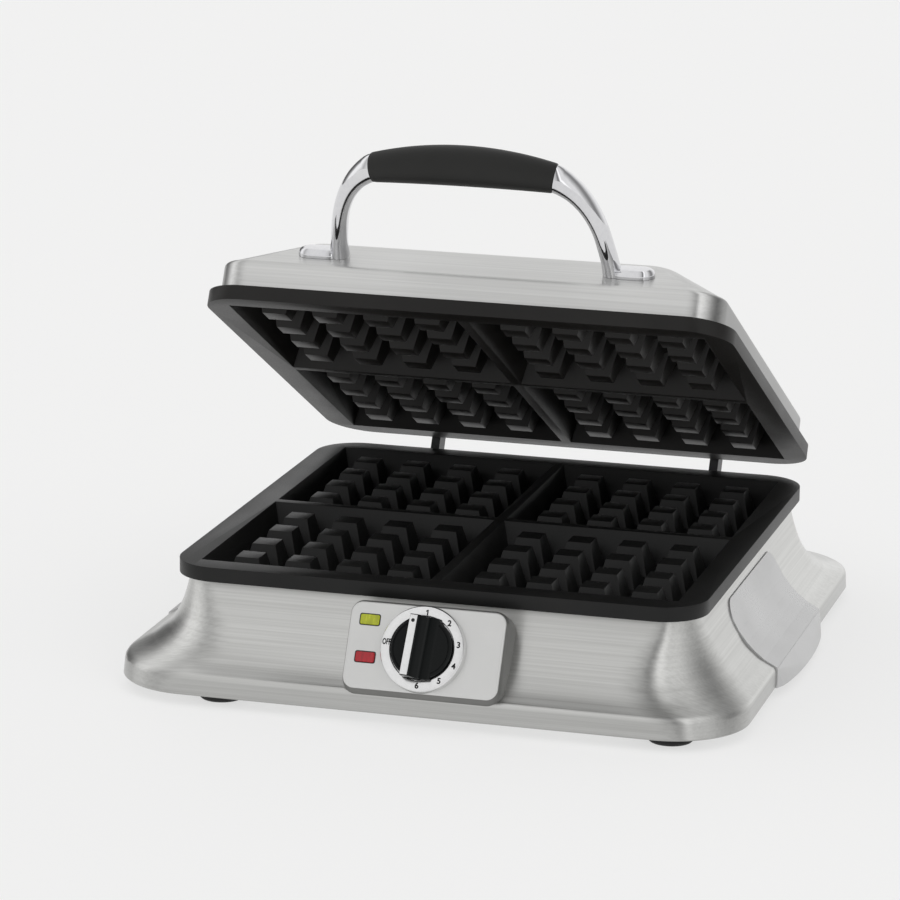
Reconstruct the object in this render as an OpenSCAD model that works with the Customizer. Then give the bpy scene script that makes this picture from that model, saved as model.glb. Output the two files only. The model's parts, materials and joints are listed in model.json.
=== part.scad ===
// Square two-plate waffle maker with a hinged lid, a bail handle and a rotary temperature dial.
// Millimetres. +Z is up, the front with the dial faces -Y, the feet stand on z = 0.
// The lid is drawn closed and then swung up by lid_open about the rear hinge.

/* [Plates] */
// Side of the square cooking plates
plate_w = 280; // [240:1:320]
// Corner radius of the cooking plates
plate_r = 24; // [12:1:40]
// Height of the visible rim band of one plate
band_h = 7.65; // [5:0.05:12]
// Height of the parting plane between the plates
parting_z = 65.35; // [55:0.05:80]
// Pitch of the waffle posts
post_pitch = 27.6; // [20:0.1:34]
// Side of a post at its top
post_top = 12.6; // [8:0.1:18]
// Side of a post where it meets the cell floor
post_foot = 20.4; // [12:0.1:26]
// Depth of a cell below the parting plane
cell_depth = 15.5; // [8:0.1:20]
// Depth of the post tops below the parting plane
post_drop = 1.0; // [0:0.1:4]

/* [Base] */
// Width of the skirt, left to right
base_w = 330.6; // [290:0.2:380]
// Depth of the skirt, front to back
base_d = 340; // [290:0.5:390]
// Height of the skirt's lower edge above the table
skirt_z = 5.5; // [3:0.1:12]
// Wall thickness of the steel shells
shell_t = 1.6; // [0.8:0.1:3]
// Front end of the side grips
grip_y0 = -65; // [-100:1:-30]
// Back end of the side grips
grip_y1 = 50; // [20:1:100]
// How far the side grip lips bulge out past the skirt
grip_bulge = 6.6; // [2:0.1:12]
// Radius of the rubber feet
foot_r = 12; // [8:0.5:18]

/* [Control panel] */
// Width of the panel face
panel_w = 81; // [60:0.5:110]
// Height of the panel face along its slope
panel_h = 44.6; // [35:0.2:50]
// Backward lean of the panel face
panel_lean = 26.4; // [10:0.1:40]
// Sideways place of the panel centre
panel_x = 4.6; // [-20:0.1:20]
// Radius of the dial ring at the panel face
dial_r = 22.2; // [18:0.1:24]
// Height of the dial ring
dial_t = 4.6; // [2:0.1:8]
// Radius of the knob
knob_r = 16.4; // [12:0.1:18]
// Clockwise turn of the knob from the first mark
knob_turn = 3; // [-90:1:190]

/* [Lid] */
// Angle of the lid above its closed position
lid_open = 27.3; // [0:0.1:102]
// Inset of the lid shell from the plate edge
lid_inset = 6; // [3:0.1:12]
// Height of the lid side wall above the parting plane
lid_wall = 23; // [15:0.1:35]
// Height of the lid roof above the parting plane
lid_top = 44.2; // [34:0.1:60]

/* [Handle] */
// Half of the distance between the handle legs
leg_x = 72.6; // [50:0.2:100]
// Half length of the soft grip
grip_half = 48.3; // [30:0.1:60]
// Reach of the handle from its feet to the grip
handle_reach = 62.3; // [40:0.1:80]
// Angle of the handle above the closed lid's parting plane
handle_lift = 37.4; // [20:0.1:70]

/* [Hinge] */
// Distance of the hinge axis behind the centre
hinge_y = 152.8; // [145:0.1:165]
// Height of the hinge axis
hinge_z = 35.8; // [25:0.1:50]
// Sideways distance of each hinge from the centre
hinge_x = 82; // [50:1:110]
// Radius of the hinge pins
pin_r = 3; // [2:0.1:5]
// Radial clearance of the pins in the base brackets
pin_gap = 0.05; // [0.02:0.01:0.1]

/* [Hidden] */
$fn = 48;
e = 0.02;
steel = [0.74, 0.74, 0.72];
coat = [0.09, 0.09, 0.10];
silver = [0.78, 0.78, 0.77];
plate_h2 = plate_w / 2;
under_h = plate_h2 - 12;              // half side of the casting under a plate rim
under_t = cell_depth - band_h + 3.4;  // how far the casting goes past the rim band
cell_c = 64.4;                        // centre of a waffle cell from the middle
cell_half = 61.7;                     // half side of a cell at its mouth
cell_floor = 57.6;                    // half side of a cell at its floor
lid_gap = 0.3;                        // space between the closed plates
band_z0 = parting_z - band_h;         // underside of the lower rim band
shell_top = band_z0 - 0.1;
up_z = parting_z + lid_gap;           // lower face of the upper plate, lid closed
lid_h = plate_h2 - lid_inset;
shaft_r = 3;

// ---------- shared shapes ----------

// One ring of points round a rounded rectangle: half width, half depth, radius, height
function ring(l, n) = [for (q = [0:3]) for (i = [0:n])
    let (a = q * 90 + i * 90 / n, sx = (q == 0 || q == 3) ? 1 : -1, sy = q < 2 ? 1 : -1)
    [sx * (l[0] - l[2]) + l[2] * cos(a), sy * (l[1] - l[2]) + l[2] * sin(a) + (len(l) > 4 ? l[4] : 0), l[3]]];

// Side faces between k rings of m points each
function ring_faces(k, m) = concat([[for (i = [0:m - 1]) i]], [[for (i = [m - 1:-1:0]) (k - 1) * m + i]],
    [for (j = [0:k - 2]) for (i = [0:m - 1])
        [j * m + i, (j + 1) * m + i, (j + 1) * m + (i + 1) % m, j * m + (i + 1) % m]]);

// Skin through a stack of rounded rectangles, lowest first
module loft(levels, n = 8) {
    pts = [for (l = levels) each ring(l, n)];
    polyhedron(points = pts, faces = ring_faces(len(levels), 4 * (n + 1)), convexity = 6);
}

// Rounded flat block
module slab(hx, hy, r, z0, z1) {
    translate([0, 0, z0]) linear_extrude(z1 - z0) round_rect(hx, hy, r);
}

module round_rect(hx, hy, r) {
    square([2 * hx - 2 * r, 2 * hy], center = true);
    square([2 * hx, 2 * hy - 2 * r], center = true);
    for (x = [-1, 1], y = [-1, 1]) translate([x * (hx - r), y * (hy - r)]) circle(r);
}

// Four-sided tapered block, wide side at z0
module taper(h0, h1, z0, z1) {
    translate([0, 0, z0]) rotate([0, 0, 45])
        cylinder(h = z1 - z0, r1 = h0 * sqrt(2), r2 = h1 * sqrt(2), $fn = 4);
}

// Pan-head screw pointing down from z = 0, head above
module screw(r, len, head_r, head_h) {
    translate([0, 0, -len]) cylinder(h = len + e, r = r);
    difference() {
        cylinder(h = head_h, r = head_r);
        translate([-head_r * 0.6, -0.5, head_h * 0.5]) cube([head_r * 1.2, 1, head_h]);
        translate([-0.5, -head_r * 0.6, head_h * 0.5]) cube([1, head_r * 1.2, head_h]);
    }
}

// Profile of the flared base: half-width inset from the skirt, inset in depth, corner radius, height
flare = [[0, 0, 41, skirt_z], [0, 0, 44, 14.6], [1.0, 1.0, 47, 16.6], [7.8, 9, 50, 20.2],
    [12.8, 14.8, 50, 24.2], [16.8, 19.4, 48, 28.2], [20.8, 24, 43, 34], [24.3, 28, 36, 40.4],
    [27.8, 32.4, 27, 48.4], [30.8, 35.5, 20, shell_top]];

// Solid bounded by the flare, moved inwards by t (t grows over the toe of the flare)
module flare_solid(t) {
    loft([for (f = flare) let (k = f[3] > 15 && f[3] < 30 ? 1.9 : 1)
        [base_w / 2 - f[0] - k * t, base_d / 2 - f[1] - k * t, f[2] - t, f[3]]]);
}

// ---------- base ----------

module base_shell() {
    color(steel) difference() {
        flare_solid(0);
        difference() {
            flare_solid(shell_t);
            translate([0, 0, shell_top - 1.2]) linear_extrude(3) difference() {
                round_rect(145, 145, 20);
                round_rect(under_h + 1.5, under_h + 1.5, 14);
            }
        }
        translate([0, 0, skirt_z - 1]) slab(base_w / 2 - shell_t, base_d / 2 - shell_t, 39, 0, 3);
        slab(under_h + 1.5, under_h + 1.5, 14, shell_top - 2, shell_top + 1);
        // openings behind the side grips
        for (s = [-1, 1]) grip_window(s, 0);
        // opening behind the control panel
        translate([panel_x - 38, -200, 17]) cube([76, 80, 34]);
        // holes for the hinge bracket screws and the cord gland
        for (s = [-1, 1], d = bolt_x) translate([s * hinge_x + d, hinge_y + 20, 31])
            rotate([90, 0, 0]) cylinder(h = 45, r = 2.1);
        translate([gland_x, base_d / 2 + 5, gland_z]) rotate([90, 0, 0]) cylinder(h = 60, r = 8.1);
    }
}

gland_x = -35;
gland_z = 26;
bolt_x = [-12.7, 12.7]; // bracket screws, from the middle of a hinge
lug_y = 152.2;          // rear face of the bracket lugs

// Window in the side wall, s = 1 right or -1 left, shrunk by g on every side
module grip_window(s, g) {
    y0 = grip_y0 + g;
    y1 = grip_y1 - g;
    z1 = 49 - g;
    r = 11 - g;
    translate([s > 0 ? 100 : -185, 0, 0]) rotate([90, 0, 90]) linear_extrude(85) {
        translate([y0 + r, -1]) square([y1 - y0 - 2 * r, z1 + 1]);
        translate([y0, -1]) square([y1 - y0, z1 - r + 1]);
        for (y = [y0 + r, y1 - r]) translate([y, z1 - r]) circle(r);
    }
}

// Plan outline of the bulging lip, moved inwards by g
function lip_outline(g) = [for (i = [0:20]) let (u = -1 + i / 10, hy = (grip_y1 - grip_y0) / 2 - 0.4 - g)
    [base_w / 2 + 0.5 - g + grip_bulge * pow(max(0, 1 - u * u), 0.62), (grip_y0 + grip_y1) / 2 + u * hy]];

module lip(g) {
    hy = (grip_y1 - grip_y0) / 2 - 0.4 - g;
    hull() {
        translate([150 - g, (grip_y0 + grip_y1) / 2 - hy, 15.9 - g])
            cube([base_w / 2 + 0.6 - 150, 2 * hy, 0.2]);
        translate([0, 0, skirt_z - g]) linear_extrude(0.2) polygon(concat(lip_outline(g),
            [[150 - g, (grip_y0 + grip_y1) / 2 + hy], [150 - g, (grip_y0 + grip_y1) / 2 - hy]]));
    }
}

// Side grip moulding on the right; the left one is its mirror image
module side_grip() {
    difference() {
        union() {
            intersection() {
                flare_solid(-0.7);
                grip_window(1, 0.4);
                translate([100, -200, skirt_z]) cube([100, 400, 60]);
            }
            lip(0);
        }
        difference() {
            flare_solid(2.2);
            // wall between the finger pocket and the inside of the base
            translate([138.6, grip_y0, 0]) cube([2, grip_y1 - grip_y0, 60]);
        }
        intersection() {
            lip(2.4);
            translate([140.6, -200, 0]) cube([60, 400, 60]);
        }
        translate([90, -200, skirt_z - 5]) cube([48.6, 400, 36]);
        translate([140.6, grip_y0 + 3, skirt_z - 5]) cube([20, grip_y1 - grip_y0 - 6, 8]);
    }
}

module side_grip_right() {
    color(silver) side_grip();
}

module side_grip_left() {
    color(silver) mirror([1, 0, 0]) side_grip();
}

feet = [[-107, -149], [129, -149], [-118, 140], [118, 140]];
posts = [[-100, -100], [100, -100], [-100, 100], [100, 100]];

module bottom_pan() {
    color([0.62, 0.62, 0.61]) difference() {
        slab(base_w / 2 - shell_t - 0.3, base_d / 2 - shell_t - 0.3, 41, 6.5, 8.3);
        for (s = [-1, 1]) translate([s > 0 ? 138 : -188, grip_y0 - 0.6, 0])
            cube([50, grip_y1 - grip_y0 + 1.2, 20]);
        for (f = feet) translate([f[0], f[1], 0]) cylinder(h = 20, r = 2.1);
        for (f = posts) translate([f[0], f[1], 0]) cylinder(h = 20, r = 2.6);
        // air slots
        for (i = [-4:4], s = [-1, 1]) translate([i * 14 - 1.8, s * 45 - 20, 0]) cube([3.6, 40, 20]);
    }
}

module foot(i) {
    color([0.07, 0.07, 0.07]) translate([feet[i][0], feet[i][1], 0]) difference() {
        union() {
            cylinder(h = 1.2, r1 = foot_r - 1.2, r2 = foot_r);
            translate([0, 0, 1.2]) cylinder(h = 5.3, r = foot_r);
        }
        translate([0, 0, -1]) cylinder(h = 4.4, r = 4.4);
        cylinder(h = 10, r = 2.1);
    }
}

module foot_front_left() {
    foot(0);
}

module foot_front_right() {
    foot(1);
}

module foot_back_left() {
    foot(2);
}

module foot_back_right() {
    foot(3);
}

module foot_screws() {
    color([0.6, 0.6, 0.6]) for (f = feet) translate([f[0], f[1], 3.3]) mirror([0, 0, 1])
        screw(1.9, 7, 3.8, 1.8);
}

// ---------- cooking plates ----------

// Cooking plate with its working face up at z = 0
module cooking_plate() {
    difference() {
        union() {
            slab(plate_h2, plate_h2, plate_r, -band_h, 0);
            slab(under_h, under_h, 12, -band_h - under_t, -band_h + e);
        }
        for (x = [-1, 1], y = [-1, 1]) translate([x * cell_c, y * cell_c, 0]) mirror([0, 0, 1])
            taper(cell_half + 0.27, cell_floor, -1, cell_depth);
        for (f = posts) translate([f[0] * 1.23, f[1] * 0.2, -band_h - under_t - 1]) cylinder(h = 5, r = 1.6);
    }
    for (x = [-1, 1], y = [-1, 1], i = [-1.5:1.5], j = [-1.5:1.5])
        translate([x * cell_c + i * post_pitch, y * cell_c + j * post_pitch, 0])
            taper(post_foot / 2, post_top / 2, -cell_depth - 0.4, -post_drop);
}

// Rod heater bent into a loop with two tails towards the front
module heater_loop() {
    k = 78;
    r = 26;
    for (s = [-1, 1]) {
        translate([s * k, k - r, 0]) rotate([90, 0, 0]) cylinder(h = 2 * (k - r), r = 3.2);
        translate([s * (k - r), k - r, 0]) rotate([0, 0, s > 0 ? 0 : 90]) bend(r);
        translate([s * (k - r), -k + r, 0]) rotate([0, 0, s > 0 ? 270 : 180]) bend(r);
        translate([s * 14, -k, 0]) rotate([0, s * 90, 0]) cylinder(h = k - r - 14, r = 3.2);
        translate([s * 14, -k - 8, 0]) rotate([0, 0, s > 0 ? 90 : 0]) bend(8);
        translate([s * 6, -k - 8, 0]) rotate([90, 0, 0]) cylinder(h = 18, r = 3.2);
    }
    translate([-(k - r), k, 0]) rotate([0, 90, 0]) cylinder(h = 2 * (k - r), r = 3.2);
}

module bend(r) {
    rotate_extrude(angle = 90) translate([r, 0]) circle(3.2);
}

// Straps that hold the rod heater, flat side up at z = 3.2
module heater_clamps() {
    for (x = [-1, 1], y = [-40, 40]) translate([x * 78, y, 0]) difference() {
        translate([-11, -5, -4.6]) cube([22, 10, 7.8]);
        rotate([90, 0, 0]) cylinder(h = 20, r = 3.25, center = true);
        translate([-3.25, -6, 0]) cube([6.5, 12, 4]);
    }
}

module lower_plate() {
    color(coat) translate([0, 0, parting_z]) cooking_plate();
}

low_z = parting_z - band_h - under_t; // underside of the lower casting

module lower_element() {
    color([0.35, 0.33, 0.31]) translate([0, 0, low_z - 3.25]) heater_loop();
}

module lower_element_clamps() {
    color([0.6, 0.6, 0.6]) translate([0, 0, low_z - 3.25]) heater_clamps();
}

module tray(hx, hy, z0, z1) {
    difference() {
        slab(hx, hy, 20, z0, z1);
        slab(hx - 0.8, hy - 0.8, 19.2, z0 + 0.8, z1 + 1);
        for (f = posts) translate([f[0], f[1], z0 - 1]) cylinder(h = 40, r = 5.2);
    }
}

module lower_reflector() {
    color([0.7, 0.7, 0.7]) difference() {
        tray(118, 110, 33, 40);
        translate([-14, -130, 34]) cube([28, 30, 20]);
    }
}

module lower_plate_posts() {
    color([0.6, 0.6, 0.6]) for (f = posts) translate([f[0], f[1], 8.3]) difference() {
        cylinder(h = low_z - 8.3, r = 5);
        translate([0, 0, -1]) cylinder(h = 60, r = 2.6);
    }
}

module lower_plate_screws() {
    color([0.6, 0.6, 0.6]) for (f = posts) translate([f[0], f[1], 6.5]) mirror([0, 0, 1])
        screw(2.5, low_z - 6.6, 4.6, 2.4);
}

// ---------- control panel ----------

// Frame of the panel face: x across, y up the face, z out of it
module on_panel() {
    translate([panel_x, -173.5, 19.3]) rotate([90 - panel_lean, 0, 0]) children();
}

module panel_block(g) {
    loft([[42 - g, 25 - g, 8 - g / 2, -26, 21], [40.9 - g, 23.8 - g, 6.6 - g / 2, -5.2, 21.1],
        [panel_w / 2 - g, panel_h / 2 - g, 6 - g / 2, -g, panel_h / 2]], 6);
}

lamp_x = -30;
lamp_y = [35.3, 16.1];

module control_panel() {
    color(silver) difference() {
        on_panel() difference() {
            panel_block(0);
            panel_block(2.2);
            translate([-37, -1, -30]) cube([74, 42, 8]);
            translate([0, panel_h / 2, -10]) cylinder(h = 20, r = shaft_r + 0.6);
            for (y = lamp_y) translate([lamp_x - 5.2, y - 2.8, -5]) cube([10.4, 5.6, 10]);
        }
        flare_solid(-0.05);
        translate([-100, -base_d / 2 - 0.05, -20]) cube([200, 100, skirt_z + 20.1]);
        translate([-plate_h2 - 1, -plate_h2 - 0.6, band_z0 - 0.3]) cube([2 * plate_h2 + 2, 100, 20]);
    }
}

module dial_ring() {
    color([0.86, 0.86, 0.86]) on_panel() translate([0, panel_h / 2, 0]) difference() {
        union() {
            cylinder(h = dial_t - 0.5, r1 = dial_r, r2 = dial_r - 1.2);
            translate([0, 0, dial_t - 0.5]) cylinder(h = 0.5, r1 = dial_r - 1.2, r2 = dial_r - 1.6);
        }
        translate([0, 0, 1.2]) cylinder(h = 10, r = knob_r + 0.6);
        translate([0, 0, -1]) cylinder(h = 10, r = shaft_r + 0.6);
    }
}

module lens(y) {
    on_panel() translate([lamp_x, y, 0]) {
        translate([-5, -2.6, -2.3]) cube([10, 5.2, 2.9]);
        translate([-6.4, -3.8, -3.4]) cube([12.8, 7.6, 1.15]);
    }
}

module green_lens() {
    color([0.72, 0.76, 0.10]) lens(lamp_y[0]);
}

module red_lens() {
    color([0.75, 0.06, 0.08]) lens(lamp_y[1]);
}

module lamp_holder() {
    color([0.9, 0.9, 0.86]) on_panel() difference() {
        translate([lamp_x - 6.5, 9, -13.5]) cube([13, 33, 10]);
        for (y = lamp_y) translate([lamp_x, y, -13]) cylinder(h = 12, r = 3.2);
    }
}

module pilot_lamps() {
    color([0.95, 0.6, 0.35]) on_panel() for (y = lamp_y) translate([lamp_x, y, -12.6])
        cylinder(h = 7, r = 3);
}

module thermostat_body() {
    color([0.85, 0.84, 0.80]) on_panel() translate([0, panel_h / 2, 0]) difference() {
        union() {
            translate([0, 0, -26]) cylinder(h = 14, r = 15);
            translate([0, 0, -12]) cylinder(h = 9.4, r = 5);
        }
        translate([0, 0, -22]) cylinder(h = 30, r = shaft_r + 0.05);
    }
}

module thermostat_bracket() {
    color([0.6, 0.6, 0.6]) on_panel() translate([0, panel_h / 2, 0]) difference() {
        translate([-23, -9, -11.9]) cube([46, 18, 1.2]);
        translate([0, 0, -13]) cylinder(h = 4, r = 5.05);
    }
}

module thermal_fuse() {
    color([0.8, 0.8, 0.8]) translate([30, -78, 25]) rotate([0, 90, 0]) {
        cylinder(h = 14, r = 2.2);
        translate([0, 0, -8]) cylinder(h = 30, r = 0.6);
    }
}

module terminal_block() {
    color([0.9, 0.88, 0.82]) difference() {
        translate([gland_x - 18, 95, 8.4]) cube([36, 16, 13]);
        for (i = [-1:1]) translate([gland_x + i * 11, 103, 11]) cylinder(h = 20, r = 2.4);
        for (i = [-1:1]) translate([gland_x + i * 11, 90, 14.5]) rotate([-90, 0, 0])
            cylinder(h = 30, r = 2);
    }
}

module cord_gland() {
    color([0.06, 0.06, 0.06]) difference() {
        union() {
            translate([gland_x, 166, gland_z]) rotate([90, 0, 0]) cylinder(h = 24, r = 8);
            difference() {
                translate([gland_x, 164.5, gland_z]) rotate([90, 0, 0]) cylinder(h = 16, r = 10.5);
                flare_solid(-0.05);
            }
            translate([gland_x, 144, gland_z]) rotate([90, 0, 0]) cylinder(h = 3, r = 10);
        }
        translate([gland_x, 170, gland_z]) rotate([90, 0, 0]) cylinder(h = 40, r = 3.6);
    }
}

// ---------- hinge, base side ----------

module hinge_bracket() {
    difference() {
        union() {
            for (x = [-6.1, 3.6]) translate([x, 0, 0]) {
                translate([0, hinge_y, hinge_z]) rotate([0, 90, 0]) cylinder(h = 2.5, r = 7);
                translate([0, 140, 21]) cube([2.5, hinge_y + 7 - 140, hinge_z - 21]);
                translate([0, 138, 21]) cube([2.5, hinge_y - 138, hinge_z - 21 + 6]);
            }
            translate([-6.1, 140, 21]) cube([12.2, 18, 4]);
            for (x = [-17, 6]) translate([x, 138, 23]) cube([11, lug_y - 138, 16]);
        }
        flare_solid(-0.05);
        translate([-20, hinge_y, hinge_z]) rotate([0, 90, 0]) cylinder(h = 40, r = pin_r + pin_gap);
        for (x = bolt_x) translate([x, hinge_y + 20, 31]) rotate([90, 0, 0]) cylinder(h = 45, r = 2.1);
        // room for the pin heads
        for (x = [-8.6, 6.1]) translate([x, hinge_y, hinge_z]) rotate([0, 90, 0]) cylinder(h = 2.5, r = 5.3);
    }
}

module hinge_bracket_left() {
    color([0.25, 0.25, 0.26]) translate([-hinge_x, 0, 0]) hinge_bracket();
}

module hinge_bracket_right() {
    color([0.25, 0.25, 0.26]) translate([hinge_x, 0, 0]) hinge_bracket();
}

module hinge_bracket_screws() {
    color([0.6, 0.6, 0.6]) for (s = [-1, 1], d = bolt_x)
        translate([s * hinge_x + d, lug_y, 31]) rotate([-90, 0, 0]) screw(2, 14, 3.6, 2);
}

// ---------- knob ----------

module on_knob() {
    on_panel() translate([0, panel_h / 2, 0]) rotate([0, 0, -knob_turn]) children();
}

knob_face = 6.6;
ridge = 12.2;

module control_knob() {
    color([0.05, 0.05, 0.055]) on_knob() difference() {
        union() {
            translate([0, 0, 1.6]) cylinder(h = knob_face - 2.2, r = knob_r);
            translate([0, 0, knob_face - 0.6]) cylinder(h = 0.6, r1 = knob_r, r2 = knob_r - 0.6);
            // finger ridge, steep on the left and sloping on the right
            translate([0, 16, 0]) rotate([90, 0, 0]) linear_extrude(32)
                polygon([[-7.4, 5.1], [-7.1, ridge - 0.6], [-6.6, ridge], [-2.8, ridge],
                    [-1.6, ridge - 1.4], [0.6, ridge - 3.2], [3.2, ridge - 4.4],
                    [6.2, ridge - 4.9], [7.2, knob_face], [7.4, 5.1]]);
        }
        translate([-6.9, -15.6, ridge - 0.7]) cube([3.9, 31.2, 2]);
        translate([0, 0, 0]) cylinder(h = 6.4, r = shaft_r);
    }
}

module knob_pointer() {
    color([0.88, 0.88, 0.88]) on_knob() difference() {
        translate([-6.85, -15.55, ridge - 0.7]) cube([3.8, 31.1, 0.9]);
        translate([-4.95, 12.4, ridge - 0.3]) cylinder(h = 2, r = 0.95);
    }
}

module thermostat_shaft() {
    color([0.7, 0.7, 0.7]) on_knob() translate([0, 0, -21.6]) cylinder(h = 28, r = shaft_r);
}

// ---------- lid ----------

// Swings the closed lid up about the hinge axis
module lid_pose() {
    translate([0, hinge_y, hinge_z]) rotate([-lid_open, 0, 0]) translate([0, -hinge_y, -hinge_z]) children();
}

// Slope of the hipped roof
slope_y0 = lid_h - 2.5;
slope_z0 = lid_wall + 1;
slope_y1 = lid_h - 29.5;
slope_z1 = lid_top - 3.2;
slope_a = atan2(slope_z1 - slope_z0, slope_y0 - slope_y1);

module roof_solid(t) {
    loft([for (l = [[lid_h, 18, band_h + 0.05], [lid_h, 18, lid_wall - 1], [lid_h - 0.8, 17.6, lid_wall],
        [slope_y0, 17, slope_z0], [slope_y1, 14, slope_z1], [lid_h - 34, 13, lid_top - 1],
        [lid_h - 40, 12, lid_top]])
        [l[0] - t, l[0] - t, l[1] - t, up_z + l[2] - (l[2] > lid_wall - 2 ? t : 0)]]);
}

module lid_shell() {
    color(steel) lid_pose() difference() {
        roof_solid(0);
        roof_solid(shell_t);
        slab(lid_h - shell_t, lid_h - shell_t, 16.4, up_z, up_z + band_h + 2);
        for (s = [-1, 1]) handle_holes(s, 2.05);
        for (s = [-1, 1], d = [-9, 9]) translate([s * hinge_x + d, lid_h - 10, up_z + 15])
            rotate([-90, 0, 0]) cylinder(h = 20, r = 2.05);
    }
}

module upper_plate() {
    color([0.13, 0.125, 0.12]) lid_pose() translate([0, 0, up_z]) mirror([0, 0, 1]) cooking_plate();
}

high_z = up_z + band_h + under_t; // upper side of the upper casting

module upper_element() {
    color([0.35, 0.33, 0.31]) lid_pose() translate([0, 0, high_z + 3.25]) mirror([0, 0, 1]) heater_loop();
}

module upper_element_clamps() {
    color([0.6, 0.6, 0.6]) lid_pose() translate([0, 0, high_z + 3.25]) mirror([0, 0, 1]) heater_clamps();
}

module upper_reflector() {
    color([0.7, 0.7, 0.7]) lid_pose() difference() {
        translate([0, 0, high_z + 11]) mirror([0, 0, 1]) tray(96, 96, 0, 7);
        translate([-14, -110, high_z]) cube([28, 30, 8]);
    }
}

module upper_plate_screws() {
    color([0.6, 0.6, 0.6]) lid_pose() for (x = [-1, 1], y = [-1, 1])
        translate([x * 123, y * 20, high_z]) screw(1.55, 3.8, 3.2, 1.8);
}

// ---------- hinge, lid side ----------

module hinge_arm() {
    difference() {
        union() {
            translate([-2.5, 0, 0]) rotate([90, 0, 90]) linear_extrude(5) {
                translate([hinge_y, hinge_z]) circle(6);
                polygon([[hinge_y - 6, hinge_z], [hinge_y - 6, up_z + 5], [hinge_y - 9, up_z + 9],
                    [lid_h + 0.1, up_z + 9], [lid_h + 0.1, up_z + 21], [hinge_y - 4, up_z + 21],
                    [hinge_y + 5, up_z + 12], [hinge_y + 6, hinge_z]]);
            }
            translate([-14, lid_h + 0.1, up_z + 9]) cube([28, 2.4, 12]);
        }
        translate([-20, hinge_y, hinge_z]) rotate([0, 90, 0]) cylinder(h = 40, r = pin_r);
        for (x = [-9, 9]) translate([x, lid_h - 10, up_z + 15]) rotate([-90, 0, 0]) cylinder(h = 20, r = 2.05);
    }
}

module hinge_arm_left() {
    color([0.25, 0.25, 0.26]) lid_pose() translate([-hinge_x, 0, 0]) hinge_arm();
}

module hinge_arm_right() {
    color([0.25, 0.25, 0.26]) lid_pose() translate([hinge_x, 0, 0]) hinge_arm();
}

module hinge_arm_screws() {
    color([0.6, 0.6, 0.6]) lid_pose() for (s = [-1, 1], d = [-9, 9])
        translate([s * hinge_x + d, lid_h + 2.5, up_z + 15]) rotate([-90, 0, 0]) screw(2, 8, 3.4, 1.8);
}

module hinge_pin() {
    translate([-8, hinge_y, hinge_z]) rotate([0, 90, 0]) cylinder(h = 16, r = pin_r);
    for (x = [-8, 6.5]) translate([x, hinge_y, hinge_z]) rotate([0, 90, 0]) cylinder(h = 1.5, r = 4.6);
}

module hinge_pin_left() {
    color([0.7, 0.7, 0.7]) lid_pose() translate([-hinge_x, 0, 0]) hinge_pin();
}

module hinge_pin_right() {
    color([0.7, 0.7, 0.7]) lid_pose() translate([hinge_x, 0, 0]) hinge_pin();
}

module hinge_washers() {
    color([0.75, 0.6, 0.3]) lid_pose() for (s = [-1, 1], x = [-3.25, 2.55])
        translate([s * hinge_x + x, hinge_y, hinge_z]) rotate([0, 90, 0]) difference() {
            cylinder(h = 0.7, r = 5.8);
            translate([0, 0, -1]) cylinder(h = 3, r = pin_r + 0.02);
        }
}

// ---------- handle ----------

// Frame of the front roof slope: x across, y up the slope, z out of it
module on_slope() {
    translate([0, -slope_y0, up_z + slope_z0]) rotate([slope_a, 0, 0]) children();
}

// Frame of the handle: x across, y out from its feet, z across the handle's thickness
module on_handle() {
    translate([0, -118, up_z + 32.8]) rotate([180 - handle_lift, 0, 0]) children();
}

// Right half of the handle centre line: x, reach, half width, half thickness
half_path = [[leg_x, 1, 4.9, 6.6], [leg_x - 0.6, 9, 4.4, 6.3], [leg_x - 2.2, 19, 4.3, 6.2],
    [leg_x - 4.0, 28, 4.3, 6.2], [leg_x - 6.6, 36, 4.5, 6.3], [leg_x - 10.2, 43.5, 4.9, 6.5],
    [leg_x - 15.0, 50.2, 5.6, 6.8], [leg_x - 20.0, 54.8, 6.5, 7.1], [grip_half + 0.1, 57.6, 7.3, 7.4]];
// Core inside the grip, running a little way into each leg
core_tip = [50, grip_mid(44.8) + (grip_mid(56) - grip_mid(44.8)) * 5.2 / 11.2, 4.4, 4.4];
core = concat([core_tip], [for (i = [4:-1:-4]) [i * 11.2, grip_mid(i * 11.2), 4.4, 4.4]], [flip(core_tip)]);

function grip_mid(x) = handle_reach - (handle_reach - 57.9) * pow(x / grip_half, 2);
function grip_rad(x) = 10.4 - 2.8 * pow(x / grip_half, 2);
function flip(p) = [-p[0], p[1], p[2], p[3]];

// Skin along a path of [x, y, half width in the plane, half thickness]
module sweep(path, n = 20) {
    k = len(path);
    pts = [for (j = [0:k - 1]) let (a = path[max(0, j - 1)], b = path[min(k - 1, j + 1)], p = path[j],
        d = [b[0] - a[0], b[1] - a[1]] / norm([b[0] - a[0], b[1] - a[1]]))
        for (i = [0:n - 1]) let (c = cos(i * 360 / n), s = sin(i * 360 / n))
        [p[0] - d[1] * p[2] * c, p[1] + d[0] * p[2] * c, p[3] * s]];
    polyhedron(points = pts, faces = concat([[for (i = [0:n - 1]) i]], [[for (i = [n - 1:-1:0]) (k - 1) * n + i]],
        [for (j = [0:k - 2]) for (i = [0:n - 1]) for (h = [0, 1]) h == 0
            ? [j * n + i, (j + 1) * n + i, (j + 1) * n + (i + 1) % n]
            : [j * n + i, (j + 1) * n + (i + 1) % n, j * n + (i + 1) % n]]), convexity = 6);
}

module handle_holes(s, r) {
    for (x = [78, 91]) on_slope() translate([s * x, 16, -8]) cylinder(h = 12, r = r);
}

module handle_pad(s) {
    on_slope() translate([s * 84.4, 16, 0.15]) linear_extrude(3.8) {
        square([11.4, 14.6], center = true);
        for (x = [-5.7, 5.7]) translate([x, 0]) circle(7.3);
    }
}

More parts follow.
